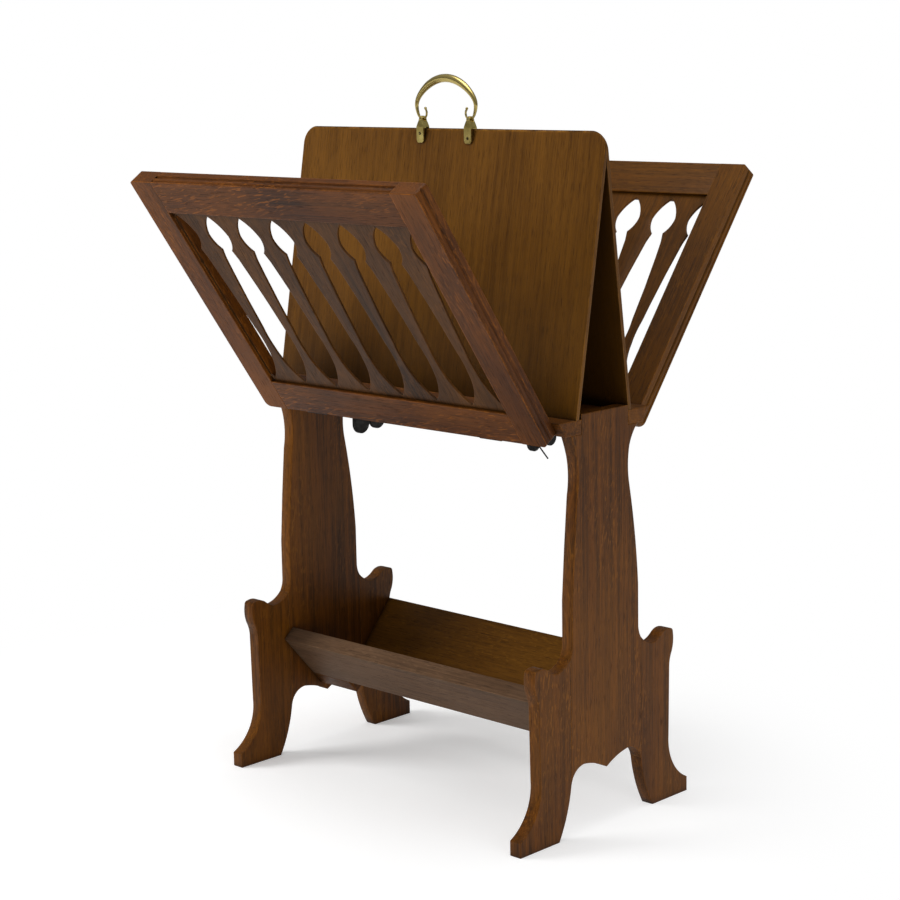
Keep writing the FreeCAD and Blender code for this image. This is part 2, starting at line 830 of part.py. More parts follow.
def build_fret_panel(label, wing):
    inward = wing.inward
    panel = new_body(label)
    face = -wing.fret_far if inward > 0 else wing.fret_near
    sketch = new_sketch(panel, "outline", "XZ_Plane", face)
    reach = between_half + fret_housing - joint_clear
    draw_polygon(sketch, rectangle(-reach, fret_foot - fret_housing + joint_clear,
                                   reach, fret_head + fret_housing - joint_clear))
    pad(panel, "board", sketch, fret_board)
    pitch = between_half * 2 * FRET_PITCH_SHARE
    first = between_half * 2 * FRET_SHIFT_SHARE - pitch * (FRET_COUNT + 1) * HALF
    for number in range(1, FRET_COUNT + 1):
        opening = new_sketch(panel, f"opening_{number}", "XZ_Plane")
        draw_loop(opening, fret_opening(first + pitch * number, pitch))
        cut(panel, f"opening_{number}_cut", opening)
    left_end = fret_side(first, pitch, 1)
    for share in (FRET_SHARES[-1][0][1] + FRET_END_SHARE, FRET_SHARES[0][0][1] - FRET_END_SHARE):
        left_end.append(((-between_half, fret_foot + fret_height * share), None))
    opening = new_sketch(panel, "left_end_opening", "XZ_Plane")
    draw_loop(opening, left_end)
    cut(panel, "left_end_opening_cut", opening)
    opening = new_sketch(panel, "right_end_opening", "XZ_Plane")
    draw_loop(opening, fret_side(first + pitch * (FRET_COUNT + 1), pitch, -1))
    cut(panel, "right_end_opening_cut", opening)
    place_wing_piece(panel, wing)


for wing in (front_wing, rear_wing):
    build_stile(f"{wing.name}_wing_left_stile", wing, -1)
    build_stile(f"{wing.name}_wing_right_stile", wing, 1)
    build_top_rail(f"{wing.name}_wing_top_rail", wing)
    build_bottom_rail(f"{wing.name}_wing_bottom_rail", wing)
    build_fret_panel(f"{wing.name}_wing_fret_panel", wing)
print("wings built")

# Butt hinges: a leaf screwed to the shelf, a leaf screwed to the wing, and a headed pin.

leaf_width = size("leaf_width")
leaf_plate = size("leaf_plate")
hinge_length = size("hinge_length")
knuckle_gap = size("knuckle_gap")
pin_radius = size("pin_radius")
pin_bore = pin_radius + size("pin_clear")
knuckle_length = (hinge_length - knuckle_gap * 2) / 3
plate_top = leaf_plate - axis_clear
plate_start = square_root(knuckle_radius * knuckle_radius - plate_top * plate_top)
knuckle_bounds = [
    (ZERO, knuckle_length),
    (knuckle_length + knuckle_gap, knuckle_length * 2 + knuckle_gap),
    (knuckle_length * 2 + knuckle_gap * 2, hinge_length),
]


def leaf_section(with_knuckle):
    """Section of a leaf about its pin: first along the plate, then out of the wood."""
    if not with_knuckle:
        return [((axis_clear, -axis_clear), None), ((leaf_width, -axis_clear), None),
                ((leaf_width, plate_top), None), ((axis_clear, plate_top), None)]
    return [((ZERO, -axis_clear), None), ((leaf_width, -axis_clear), None),
            ((leaf_width, plate_top), None), ((plate_start, plate_top), (-knuckle_radius, ZERO)),
            ((ZERO, -knuckle_radius), None)]


def build_leaf(label, knuckles, orient, along, out, up, tilt):
    """A leaf that owns some of the knuckles; orient turns its section into the body's plane."""
    leaf = new_body(label)
    joins = [ZERO, knuckle_length + knuckle_gap * HALF, knuckle_length * 2 + knuckle_gap * 1.5, hinge_length]
    for number in range(3):
        owned = number in knuckles
        plain = new_sketch(leaf, f"plate_{number}", offset=joins[number])
        draw_loop(plain, orient(leaf_section(False)))
        pad(leaf, f"plate_{number}_pad", plain, joins[number + 1] - joins[number])
        if owned:
            start, finish = knuckle_bounds[number]
            round_part = new_sketch(leaf, f"knuckle_{number}", offset=start)
            draw_loop(round_part, orient(leaf_section(True)))
            draw_circle(round_part, ZERO, ZERO, pin_bore)
            pad(leaf, f"knuckle_{number}_pad", round_part, finish - start)
    place(leaf, along, out, up, tilt)


def build_hinge(name, wing, along):
    inward = wing.inward
    out = wing.axis_out * -inward
    build_leaf(f"{name}_shelf_leaf", (0, 2), lambda loop: flip_loop(loop, inward),
               along, out, axis_up, None)
    build_leaf(f"{name}_wing_leaf", (1,),
               lambda loop: [((point[1] * inward, point[0]),
                              (through[1] * inward, through[0]) if through else None)
                             for point, through in loop],
               along, out, axis_up, wing.lean * inward)
    pin = new_body(f"{name}_pin")
    sketch = new_sketch(pin, "section")
    draw_circle(sketch, ZERO, ZERO, pin_radius)
    pad(pin, "rod", sketch, hinge_length)
    place(pin, along, out, axis_up)


hinge_place = wing_half - size("hinge_inset")
for wing in (front_wing, rear_wing):
    build_hinge(f"{wing.name}_left_hinge", wing, -hinge_place - hinge_length * HALF)
    build_hinge(f"{wing.name}_right_hinge", wing, hinge_place - hinge_length * HALF)
print("hinges built")

# Iron stay arms: a foot under the wing's lower edge, a bar below the shelf and a rounded tab.

arm_place = wing_half - size("arm_inset")
arm_bar = size("arm_bar")
arm_foot_plate = size("arm_foot_plate")
arm_foot_width = size("arm_foot_width")
arm_bar_low = shelf_under - size("arm_bar_drop")
arm_bar_high = arm_bar_low + size("arm_depth")


def build_arm(label, wing, along, tab_out, tab_foot, tab_radius):
    arm = new_body(label)
    near = (wing_board - arm_foot_width) * HALF
    far = near + arm_foot_width
    foot = [wing.spot(near, ZERO), wing.spot(far, ZERO),
            wing.spot(far, -arm_foot_plate), wing.spot(near, -arm_foot_plate)]
    sketch = new_sketch(arm, "foot")
    draw_polygon(sketch, [(point[0] * -wing.inward, point[1]) for point in foot])
    pad(arm, "foot_plate", sketch, size("arm_foot_length"), midplane=True)
    heel = wing.spot(near + arm_foot_plate, -arm_foot_plate * HALF)
    toe = wing.spot(far - arm_foot_plate, -arm_foot_plate * HALF)
    tab_centre = tab_foot + tab_radius
    bar = [
        (heel, None),
        ((tab_out + tab_radius, arm_bar_low), None),
        ((tab_out + tab_radius, tab_centre), (tab_out, tab_foot)),
        ((tab_out - tab_radius, tab_centre), None),
        ((tab_out - tab_radius, arm_bar_high), None),
        (toe, None),
    ]
    sketch = new_sketch(arm, "bar")
    draw_loop(sketch, flip_loop(bar, -wing.inward))
    pad(arm, "bar_pad", sketch, arm_bar, midplane=True)
    place(arm, along)


tab_lifts = {"front": ZERO, "rear": size("rear_tab_lift")}
for wing in (front_wing, rear_wing):
    for side, sign in (("left", -1), ("right", 1)):
        build_arm(f"{wing.name}_{side}_stay_arm", wing, arm_place * sign, size(f"{wing.name}_tab_out"),
                  size(f"{side}_tab_foot") + tab_lifts[wing.name], size(f"{side}_tab_radius"))

catch = new_body("stay_catch_wire")
sketch = new_sketch(catch, "section", "XY_Plane")
draw_circle(sketch, ZERO, ZERO, size("catch_radius"))
pad(catch, "wire", sketch, size("catch_length"))
place(catch, arm_place + arm_bar * HALF + size("catch_radius"),
      size("catch_reach") - size("front_tab_out"),
      size("right_tab_foot") + size("right_tab_radius") - size("catch_hang"), size("catch_lean"))
print("stay arms built")

# Brass lugs that straddle the ridge, each a folded strap that narrows to a domed eye.

lug_place = size("lug_place")
lug_width = size("lug_width")
lug_half = lug_width * HALF
lug_plate = size("lug_plate")
lug_drop = size("lug_drop")
lug_shoulder_half = size("lug_shoulder_half")
eye_rise = size("eye_rise")
eye_radius = size("eye_radius")
pivot_up = ridge + eye_rise


def strap_side(face):
    """From the ridge down the board and back up to the shoulder and the side of the eye."""
    foot_inner = (lug_drop * face.fall, ridge - lug_drop * face.across)
    foot_outer = (foot_inner[0] + lug_plate * face.across, foot_inner[1] + lug_plate * face.fall)
    bend = (lug_shoulder_half * SHOULDER_BEND_SHARES[0], ridge + eye_rise * SHOULDER_BEND_SHARES[1])
    eye_side = (eye_radius * EYE_SIDE_SHARES[0], pivot_up + eye_radius * EYE_SIDE_SHARES[1])
    return [((ZERO, ridge), None), (foot_inner, None), (foot_outer, None),
            ((lug_shoulder_half, ridge), bend), (eye_side, (ZERO, pivot_up + eye_radius))]


def cut_dome_side(lug, side):
    """Narrow the lug above its shoulder, so that the eye is thin where the bail turns in it."""
    dome_foot = (lug_half * side, ridge + eye_rise * DOME_FOOT_SHARE)
    dome_bend = (lug_width * DOME_BEND_SHARES[0] * side, ridge + eye_rise * DOME_BEND_SHARES[1])
    dome_head = (lug_width * DOME_HEAD_SHARES[0] * side, ridge + eye_rise * DOME_HEAD_SHARES[1])
    clear_up = pivot_up + eye_radius * 2
    sketch = new_sketch(lug, f"dome_{side}", "XZ_Plane")
    draw_loop(sketch, [(dome_head, dome_bend), (dome_foot, None),
                       ((lug_half * side, clear_up), None), ((dome_head[0], clear_up), None)])
    cut(lug, f"dome_{side}_cut", sketch)


for side, sign in (("left", -1), ("right", 1)):
    lug = new_body(f"{side}_handle_lug")
    sketch = new_sketch(lug, "strap")
    draw_loop(sketch, join_sides(strap_side(rear_face), strap_side(front_face)))
    pad(lug, "strap_pad", sketch, lug_width, midplane=True)
    sketch = new_sketch(lug, "bore")
    draw_circle(sketch, ZERO, pivot_up, size("eye_bore"))
    cut(lug, "bore_cut", sketch)
    for flank, flank_sign in (("left", -1), ("right", 1)):
        cut_dome_side(lug, flank_sign)
        round_corner(lug, f"foot_{flank}_round", lug_half * flank_sign, ridge - lug_drop,
                     size("lug_foot_round"), flank_sign, -1)
    place(lug, lug_place * sign, ridge_out)

# The bail: one brass rod, thick at the grip and thin at the ends that hook through the eyes.

bail_reach = size("bail_reach").number
bail_rise = size("bail_rise").number
bail_end = size("bail_end_radius").number
bail_grip = size("bail_grip_radius").number
eye_along = lug_place.number


def bail_station(across_share, up_share):
    return Vector(bail_reach * across_share, 0, bail_rise * up_share)


def bail_half():
    """Centre line from the crown down to the hooked tip, with the rod's radius at each station."""
    rows = []
    for (across_share, up_share), weight_share in BAIL_SHARES:
        rows.append((bail_station(across_share, up_share), bail_end + (bail_grip - bail_end) * weight_share))
    hook = size("hook_radius").number
    for turn in HOOK_TURN_SHARES:
        angle = math.pi * turn
        rows.append((Vector(eye_along + hook * math.cos(angle), 0, hook + hook * math.sin(angle)), bail_end))
    return rows


half_rows = bail_half()
rows = [(Vector(-spot.x, 0, spot.z), radius) for spot, radius in reversed(half_rows[1:])] + half_rows
centre_line = Part.BSplineCurve()
centre_line.interpolate([spot for spot, radius in rows])
knots = [(centre_line.parameter(spot), radius) for spot, radius in rows]
rings = []
for (low, low_radius), (high, high_radius) in zip(knots, knots[1:]):
    for step in range(BAIL_STEPS):
        share = step / BAIL_STEPS
        place_on_line = low + (high - low) * share
        radius = low_radius + (high_radius - low_radius) * share
        rings.append((place_on_line, radius))
rings.append(knots[-1])


def ring_wire(centre, along, radius):
    """A many-sided section of the rod, square to its centre line."""
    across = Vector(0, 1, 0)
    inward = along.cross(across)
    turns = [2 * math.pi * side / RING_SIDES for side in range(RING_SIDES)]
    spots = [centre + across * (radius * math.cos(turn)) + inward * (radius * math.sin(turn)) for turn in turns]
    return Part.makePolygon(spots + [spots[0]])


wires = [ring_wire(centre_line.value(spot), centre_line.tangent(spot)[0], radius) for spot, radius in rings]
bail = doc.addObject("Part::Feature", "bail_handle")
bail.Label = "bail_handle"
bail.Shape = Part.makeLoft(wires, True, True)
bail_out = ridge_out - size("origin_depth")
bail.Placement = Placement(Vector(0, bail_out.number, pivot_up.number), Rotation())
bail.setExpression("Placement.Base.y", bail_out.formula)
bail.setExpression("Placement.Base.z", pivot_up.formula)
parts["bail_handle"] = bail
print("handle built")

doc.recompute()
for item in doc.Objects:
    if "Invalid" in item.State or "Error" in item.State:
        raise RuntimeError(f"{item.Name} did not compute")
os.makedirs("parts", exist_ok=True)
for label, part in parts.items():
    shape = part.Shape
    if shape.isNull() or not shape.isValid() or not shape.Solids:
        raise RuntimeError(f"{label} has no valid shape")
    shape.exportStep(f"parts/{label}.step")
box = FreeCAD.BoundBox()
for part in parts.values():
    box.add(part.Shape.BoundBox)
print(len(parts), "parts; box", [round(v, 2) for v in
                                 (box.XMin, box.XMax, box.YMin, box.YMax, box.ZMin, box.ZMax)])
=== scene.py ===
# %% [markdown]
# # An oak book stand with folding wings
#
# The stand comes from CAD with every piece at its real size and place. Blender's task is what CAD
# leaves out: fumed oak with its flecks and worn arrises, aged brass, blackened iron, the small
# screws, and a plain studio around it. Nothing here moves or resizes a CAD piece.

# %% Load the frame
import json
import math

import bmesh
import bpy
from mathutils import Matrix, Vector


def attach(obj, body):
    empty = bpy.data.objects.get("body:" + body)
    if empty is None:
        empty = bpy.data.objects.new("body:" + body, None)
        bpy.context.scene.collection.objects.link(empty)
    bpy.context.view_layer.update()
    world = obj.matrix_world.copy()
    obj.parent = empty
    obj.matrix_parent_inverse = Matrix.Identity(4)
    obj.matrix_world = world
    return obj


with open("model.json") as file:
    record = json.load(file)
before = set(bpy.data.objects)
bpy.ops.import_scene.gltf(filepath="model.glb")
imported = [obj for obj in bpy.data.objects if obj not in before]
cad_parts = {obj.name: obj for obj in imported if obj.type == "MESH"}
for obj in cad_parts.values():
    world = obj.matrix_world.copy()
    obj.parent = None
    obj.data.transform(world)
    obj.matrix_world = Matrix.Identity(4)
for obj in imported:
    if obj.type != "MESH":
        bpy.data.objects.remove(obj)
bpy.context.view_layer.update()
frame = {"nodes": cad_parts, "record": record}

nodes = frame["nodes"]

# %% [markdown]
# ## The camera
#
# A photograph's viewpoint is described best by an orbit: how far round, how high, how far away and
# which point is aimed at. The direction back to the camera follows from two angles, and a small
# roll says how level the camera was held. The lens is given in millimetres on a 36 mm sensor.

# %% Camera
CAMERA_AZIMUTH = math.radians(44.06)
CAMERA_ELEVATION = math.radians(10.57)
CAMERA_ROLL = math.radians(-1.08)
CAMERA_TARGET = Vector((0.00186, -0.0068, 0.4645))
CAMERA_DISTANCE = 2.9268
LENS_MM = 86.478
SENSOR_MM = 36.0


def orbit_camera():
    back = Vector((math.sin(CAMERA_AZIMUTH) * math.cos(CAMERA_ELEVATION),
                   -math.cos(CAMERA_AZIMUTH) * math.cos(CAMERA_ELEVATION),
                   math.sin(CAMERA_ELEVATION)))
    across = Vector((math.cos(CAMERA_AZIMUTH), math.sin(CAMERA_AZIMUTH), 0.0))
    upward = back.cross(across)
    rolled_across = across * math.cos(CAMERA_ROLL) + upward * math.sin(CAMERA_ROLL)
    rolled_up = upward * math.cos(CAMERA_ROLL) - across * math.sin(CAMERA_ROLL)
    lens = bpy.data.cameras.new("viewpoint")
    lens.lens = LENS_MM
    lens.sensor_width = SENSOR_MM
    camera = bpy.data.objects.new("viewpoint", lens)
    bpy.context.scene.collection.objects.link(camera)
    turn = Matrix((rolled_across, rolled_up, back)).transposed()
    camera.matrix_world = Matrix.Translation(CAMERA_TARGET + back * CAMERA_DISTANCE) @ turn.to_4x4()
    bpy.context.scene.camera = camera
    return camera


camera = orbit_camera()
print("camera stands at", [round(value, 3) for value in camera.matrix_world.translation])

# %% [markdown]
# ## Helpers for shader nodes
#
# A material is a graph of nodes joined by links. Two short helpers keep the graphs readable: one
# adds a node and sets its plain values, the other builds a node group with named sockets, so that
# an effect is made once and used in every material with its own values.

# %% Node helpers


def add_node(tree, kind, settings=None, **inputs):
    """Add a node, set its properties, and set or link its inputs by name."""
    node = tree.nodes.new(kind)
    for name, value in (settings or {}).items():
        setattr(node, name, value)
    for name, value in inputs.items():
        socket = find_socket(node.inputs, name)
        if isinstance(value, bpy.types.NodeSocket):
            tree.links.new(value, socket)
        else:
            socket.default_value = value
    return node


def find_socket(sockets, name):
    """A socket by its name with underscores for spaces, or by number as in_0, in_1."""
    if name.startswith("in_"):
        return sockets[int(name[3:])]
    return sockets[name.replace("_", " ")]


def new_group(name, inputs, outputs):
    """Start a shader node group and return its tree with its input and output nodes."""
    tree = bpy.data.node_groups.new(name, "ShaderNodeTree")
    for label, kind, value in inputs:
        socket = tree.interface.new_socket(label, in_out="INPUT", socket_type=kind)
        if value is not None:
            socket.default_value = value
    for label, kind in outputs:
        tree.interface.new_socket(label, in_out="OUTPUT", socket_type=kind)
    return tree, tree.nodes.new("NodeGroupInput").outputs, tree.nodes.new("NodeGroupOutput").inputs


def math_node(tree, operation, first, second, clamp=False):
    return add_node(tree, "ShaderNodeMath", {"operation": operation, "use_clamp": clamp},
                    in_0=first, in_1=second).outputs[0]


def mix_colour(tree, factor, first, second):
    """Mix two colours. The colour sockets of a Mix node are its inputs 6 and 7 and its output 2."""
    node = tree.nodes.new("ShaderNodeMix")
    node.data_type = "RGBA"
    for socket, value in ((node.inputs[0], factor), (node.inputs[6], first), (node.inputs[7], second)):
        if isinstance(value, bpy.types.NodeSocket):
            tree.links.new(value, socket)
        else:
            socket.default_value = value
    return node.outputs[2]


def ramp(tree, factor, stops):
    """A colour ramp with (position, colour) stops; a single number stands for a grey."""
    node = add_node(tree, "ShaderNodeValToRGB", in_0=factor)
    elements = node.color_ramp.elements
    while len(elements) < len(stops):
        elements.new(0.5)
    for element, (position, colour) in zip(elements, stops):
        element.position = position
        element.color = (colour, colour, colour, 1.0) if isinstance(colour, float) else colour
    return node.outputs[0]


print("node helpers ready")

# %% [markdown]
# ## Worn edges
#
# Handling rubs the stain off an arris first. Blender's Bevel node looks round a point and returns
# a rounded normal near an edge. Where it differs from the true normal there is an edge, and that
# difference is a mask. Multiplying it with a noise breaks it up, because wear is never even.

# %% Group: edge wear


def build_edge_wear():
    tree, inputs, outputs = new_group(
        "edge_wear",
        [("Reach", "NodeSocketFloat", 0.0015), ("Amount", "NodeSocketFloat", 0.7),
         ("Patch Scale", "NodeSocketFloat", 60.0), ("Vector", "NodeSocketVector", None)],
        [("Mask", "NodeSocketFloat"), ("Normal", "NodeSocketVector")])
    rounded = add_node(tree, "ShaderNodeBevel", {"samples": 6}, Radius=inputs["Reach"])
    geometry = tree.nodes.new("ShaderNodeNewGeometry")
    alike = add_node(tree, "ShaderNodeVectorMath", {"operation": "DOT_PRODUCT"},
                     in_0=rounded.outputs["Normal"], in_1=geometry.outputs["Normal"])
    edge = math_node(tree, "SUBTRACT", 1.0, alike.outputs["Value"])
    edge = math_node(tree, "MULTIPLY", edge, 6.0, clamp=True)
    patches = add_node(tree, "ShaderNodeTexNoise", Vector=inputs["Vector"], Scale=inputs["Patch Scale"],
                       Detail=4.0, Roughness=0.6)
    broken = ramp(tree, patches.outputs["Fac"], [(0.38, 0.0), (0.62, 1.0)])
    worn = math_node(tree, "MULTIPLY", edge, broken)
    worn = math_node(tree, "MULTIPLY", worn, inputs["Amount"], clamp=True)
    tree.links.new(worn, outputs["Mask"])
    tree.links.new(rounded.outputs["Normal"], outputs["Normal"])
    return tree


edge_wear = build_edge_wear()
print("edge wear takes", len(edge_wear.nodes), "nodes")

# %% [markdown]
# ## Grime and painted shade in the corners
#
# Wax and dust gather where a cloth does not reach, and shade falls there too. The Ambient
# Occlusion node tells how open the space round a point is, out to a given distance, so its opposite
# is a mask for the corners that paints shade into the colour along with grime, and a short distance
# draws the dark line along a joint.

# %% Group: corner grime and painted shade


def build_grime_and_shade_group():
    tree, inputs, outputs = new_group("corner_grime", [("Reach", "NodeSocketFloat", 0.010)],
                                      [("Mask", "NodeSocketFloat")])
    # Its opposite darkens closed corners: painted shade, with grime and joint lines in it.
    openness = add_node(tree, "ShaderNodeAmbientOcclusion", {"samples": 6}, Distance=inputs["Reach"])
    closed = math_node(tree, "SUBTRACT", 1.0, openness.outputs["AO"])
    tree.links.new(ramp(tree, closed, [(0.12, 0.0), (0.62, 1.0)]), outputs["Mask"])
    return tree


corner_grime = build_grime_and_shade_group()
print("corner grime takes", len(corner_grime.nodes), "nodes")

# %% [markdown]
# ## Quarter-sawn oak
#
# Oak has three patterns at three sizes. Growth rings show as long fine bands along the grain. The
# open pores are dark dashes a few millimetres long. And where the board is cut towards the heart,
# rays show as pale short flecks at a small angle to the grain. All three come from noise that is
# stretched along the grain, in coordinates that are turned so that the grain runs along their Z.

# %% Group: oak


def build_oak():
    tree, inputs, outputs = new_group(
        "oak_figure",
        [("Vector", "NodeSocketVector", None), ("Seed", "NodeSocketFloat", 0.0),
         ("Fleck Amount", "NodeSocketFloat", 0.5)],
        [("Bands", "NodeSocketFloat"), ("Pores", "NodeSocketFloat"), ("Flecks", "NodeSocketFloat"),
         ("Mottle", "NodeSocketFloat"), ("Height", "NodeSocketFloat")])
    offset = add_node(tree, "ShaderNodeCombineXYZ", X=inputs["Seed"], Y=math_node(
        tree, "MULTIPLY", inputs["Seed"], 1.7), Z=math_node(tree, "MULTIPLY", inputs["Seed"], 0.6))
    place = add_node(tree, "ShaderNodeVectorMath", {"operation": "ADD"},
                     in_0=inputs["Vector"], in_1=offset.outputs[0]).outputs[0]

    def stretched(scale):
        return add_node(tree, "ShaderNodeVectorMath", {"operation": "MULTIPLY"},
                        in_0=place, in_1=scale).outputs[0]

    rings = add_node(tree, "ShaderNodeTexNoise", Vector=stretched((130.0, 130.0, 2.2)), Scale=1.0,
                     Detail=4.0, Roughness=0.6, Distortion=0.25)
    bands = ramp(tree, rings.outputs["Fac"], [(0.32, 0.0), (0.68, 1.0)])
    fine = add_node(tree, "ShaderNodeTexNoise", Vector=stretched((620.0, 620.0, 11.0)), Scale=1.0,
                    Detail=3.0, Roughness=0.65)
    fine = ramp(tree, fine.outputs["Fac"], [(0.33, 0.0), (0.67, 1.0)])
    bands = math_node(tree, "ADD", math_node(tree, "MULTIPLY", bands, 0.5),
                      math_node(tree, "MULTIPLY", fine, 0.5))
    dashes = add_node(tree, "ShaderNodeTexNoise", Vector=stretched((1000.0, 1000.0, 50.0)), Scale=1.0,
                      Detail=2.0, Roughness=0.5)
    pores = ramp(tree, dashes.outputs["Fac"], [(0.56, 0.0), (0.68, 1.0)])
    slanted = add_node(tree, "ShaderNodeMapping", Vector=place,
                       Rotation=(math.radians(9.0), math.radians(9.0), 0.0))
    rays = add_node(tree, "ShaderNodeVectorMath", {"operation": "MULTIPLY"},
                    in_0=slanted.outputs[0], in_1=(420.0, 420.0, 60.0))
    fleck_noise = add_node(tree, "ShaderNodeTexNoise", Vector=rays.outputs[0], Scale=1.0,
                           Detail=1.0, Roughness=0.4, Distortion=0.5)
    flecks = ramp(tree, fleck_noise.outputs["Fac"], [(0.58, 0.0), (0.66, 1.0)])
    areas = add_node(tree, "ShaderNodeTexNoise", Vector=stretched((16.0, 16.0, 5.0)), Scale=1.0,
                     Detail=2.0, Roughness=0.5)
    flecks = math_node(tree, "MULTIPLY", flecks,
                       ramp(tree, areas.outputs["Fac"], [(0.40, 0.0), (0.66, 1.0)]))
    flecks = math_node(tree, "MULTIPLY", flecks, inputs["Fleck Amount"], clamp=True)
    mottle = add_node(tree, "ShaderNodeTexNoise", Vector=stretched((7.0, 7.0, 3.0)), Scale=1.0,
                      Detail=4.0, Roughness=0.6)
    height = math_node(tree, "SUBTRACT", math_node(tree, "MULTIPLY", bands, 0.5), pores)
    tree.links.new(bands, outputs["Bands"])
    tree.links.new(pores, outputs["Pores"])
    tree.links.new(flecks, outputs["Flecks"])
    tree.links.new(mottle.outputs["Fac"], outputs["Mottle"])
    tree.links.new(height, outputs["Height"])
    return tree


oak_figure = build_oak()
print("oak figure takes", len(oak_figure.nodes), "nodes")

# %% [markdown]
# ## Finishes of the wood
#
# The stain is a dark reddish brown over a lighter, more orange oak. Each stain has three tones: in
# the pores and dark rings, in the plain wood, and in the flecks. A slow mottle shifts the wood
# between them, worn arrises let the lighter wood through, and grime with painted shade darkens the
# corners. The divider also gets painted shade deep in its hollow, where the same group reaches much
# farther.

# %% Oak material
STAINS = {
    "brown": ((0.032, 0.0105, 0.0008, 1.0), (0.114, 0.0350, 0.0026, 1.0), (0.215, 0.0760, 0.0060, 1.0)),
    "red": ((0.017, 0.0052, 0.0005, 1.0), (0.073, 0.0195, 0.0018, 1.0), (0.290, 0.0900, 0.0075, 1.0)),
    "fret": ((0.015, 0.0055, 0.0008, 1.0), (0.056, 0.0205, 0.0034, 1.0), (0.150, 0.0560, 0.0085, 1.0)),
    "amber": ((0.066, 0.0240, 0.0016, 1.0), (0.121, 0.0465, 0.0040, 1.0), (0.215, 0.0890, 0.0090, 1.0)),
    "tawny": ((0.036, 0.0130, 0.0006, 1.0), (0.106, 0.0340, 0.0012, 1.0), (0.190, 0.0690, 0.0035, 1.0)),
    "grey": ((0.060, 0.0290, 0.0130, 1.0), (0.125, 0.0640, 0.0310, 1.0), (0.205, 0.1120, 0.0560, 1.0)),
}
SATIN_IOR_LEVEL = 0.18
DUST_COLOUR = (0.150, 0.105, 0.072, 1.0)
# The grime reach and share set a corner darkening that is partly grime and partly painted shade; the hollow
# share is painted shade in the divider's hollow.
WEAR_REACH, GRIME_AND_SHADE_REACH = 0.0018, 0.012
PORE_SHARE, FLECK_SHARE, GRIME_AND_SHADE_SHARE, HOLLOW_SHADE_SHARE = 0.6, 0.8, 0.75, 0.85


def toned(colour, factor):
    """A lighter or darker tone of a colour."""
    return tuple(min(1.0, value * factor) for value in colour[:3]) + (1.0,)


def make_oak(name, grain, seed, stain, fleck=0.5, wear=0.7, gloss=0.40, dust=0.0, hollow_shade_reach=0.0):
    dark, mid, light = STAINS[stain]
    material = bpy.data.materials.new(name)
    material.use_nodes = True
    tree = material.node_tree
    shader = tree.nodes["Principled BSDF"]
    where = tree.nodes.new("ShaderNodeTexCoord").outputs["Object"]
    turned = add_node(tree, "ShaderNodeMapping", Vector=where, Rotation=grain).outputs[0]
    figure = add_node(tree, "ShaderNodeGroup", {"node_tree": oak_figure}, Vector=turned, Seed=seed,
                      Fleck_Amount=fleck).outputs
    worn = add_node(tree, "ShaderNodeGroup", {"node_tree": edge_wear}, Vector=where, Amount=wear,
                    Reach=WEAR_REACH).outputs
    colour = ramp(tree, figure["Bands"], [(0.20, dark), (0.80, mid)])
    shifted = mix_colour(tree, ramp(tree, figure["Mottle"], [(0.38, 0.0), (0.72, 0.45)]), colour, light)
    porous = mix_colour(tree, math_node(tree, "MULTIPLY", figure["Pores"], PORE_SHARE), shifted,
                        toned(dark, 0.35))
    flecked = mix_colour(tree, math_node(tree, "MULTIPLY", figure["Flecks"], FLECK_SHARE), porous, light)
    final = mix_colour(tree, worn["Mask"], flecked, toned(light, 1.6))
    # Painted shade with grime: the occlusion mask darkens corners and joints, and with the hollow reach it
    # paints shade deep in the divider's hollow.
    for reach, share in ((GRIME_AND_SHADE_REACH, GRIME_AND_SHADE_SHARE), (hollow_shade_reach, HOLLOW_SHADE_SHARE)):
        if reach:
            shade_and_grime = add_node(tree, "ShaderNodeGroup", {"node_tree": corner_grime}, Reach=reach).outputs
            shade_and_grime_share = math_node(tree, "MULTIPLY", shade_and_grime["Mask"], share)
            final = mix_colour(tree, shade_and_grime_share, final, toned(dark, 0.30))
    if dust:
        patches = add_node(tree, "ShaderNodeTexNoise", Vector=where, Scale=9.0, Detail=4.0)
        film = math_node(tree, "MULTIPLY", patches.outputs["Fac"], dust)
        final = mix_colour(tree, film, final, DUST_COLOUR)
    tree.links.new(final, shader.inputs["Base Color"])
    rough = math_node(tree, "ADD", gloss, math_node(tree, "MULTIPLY", figure["Mottle"], 0.12))
    rough = math_node(tree, "ADD", rough, math_node(tree, "MULTIPLY", figure["Pores"], 0.15))
    tree.links.new(rough, shader.inputs["Roughness"])
    bump = add_node(tree, "ShaderNodeBump", Strength=0.3, Distance=0.0004, Height=figure["Height"],
                    Normal=worn["Normal"])
    tree.links.new(bump.outputs["Normal"], shader.inputs["Normal"])
    shader.inputs["Specular IOR Level"].default_value = SATIN_IOR_LEVEL
    return material


print("stains:", ", ".join(STAINS))

# %% [markdown]
# ## Every board its own piece of oak
#
# Each board is cut from its own place in a tree, so each gets its own seed. Its grain runs along
# its length: upright in the ends, along X in the rails and the trough, and with the lean of the
# board in the wings' stiles and the divider. A grain that misses a board's plane by a few degrees
# breaks up into short dashes, so each lean has to be turned exactly upright.

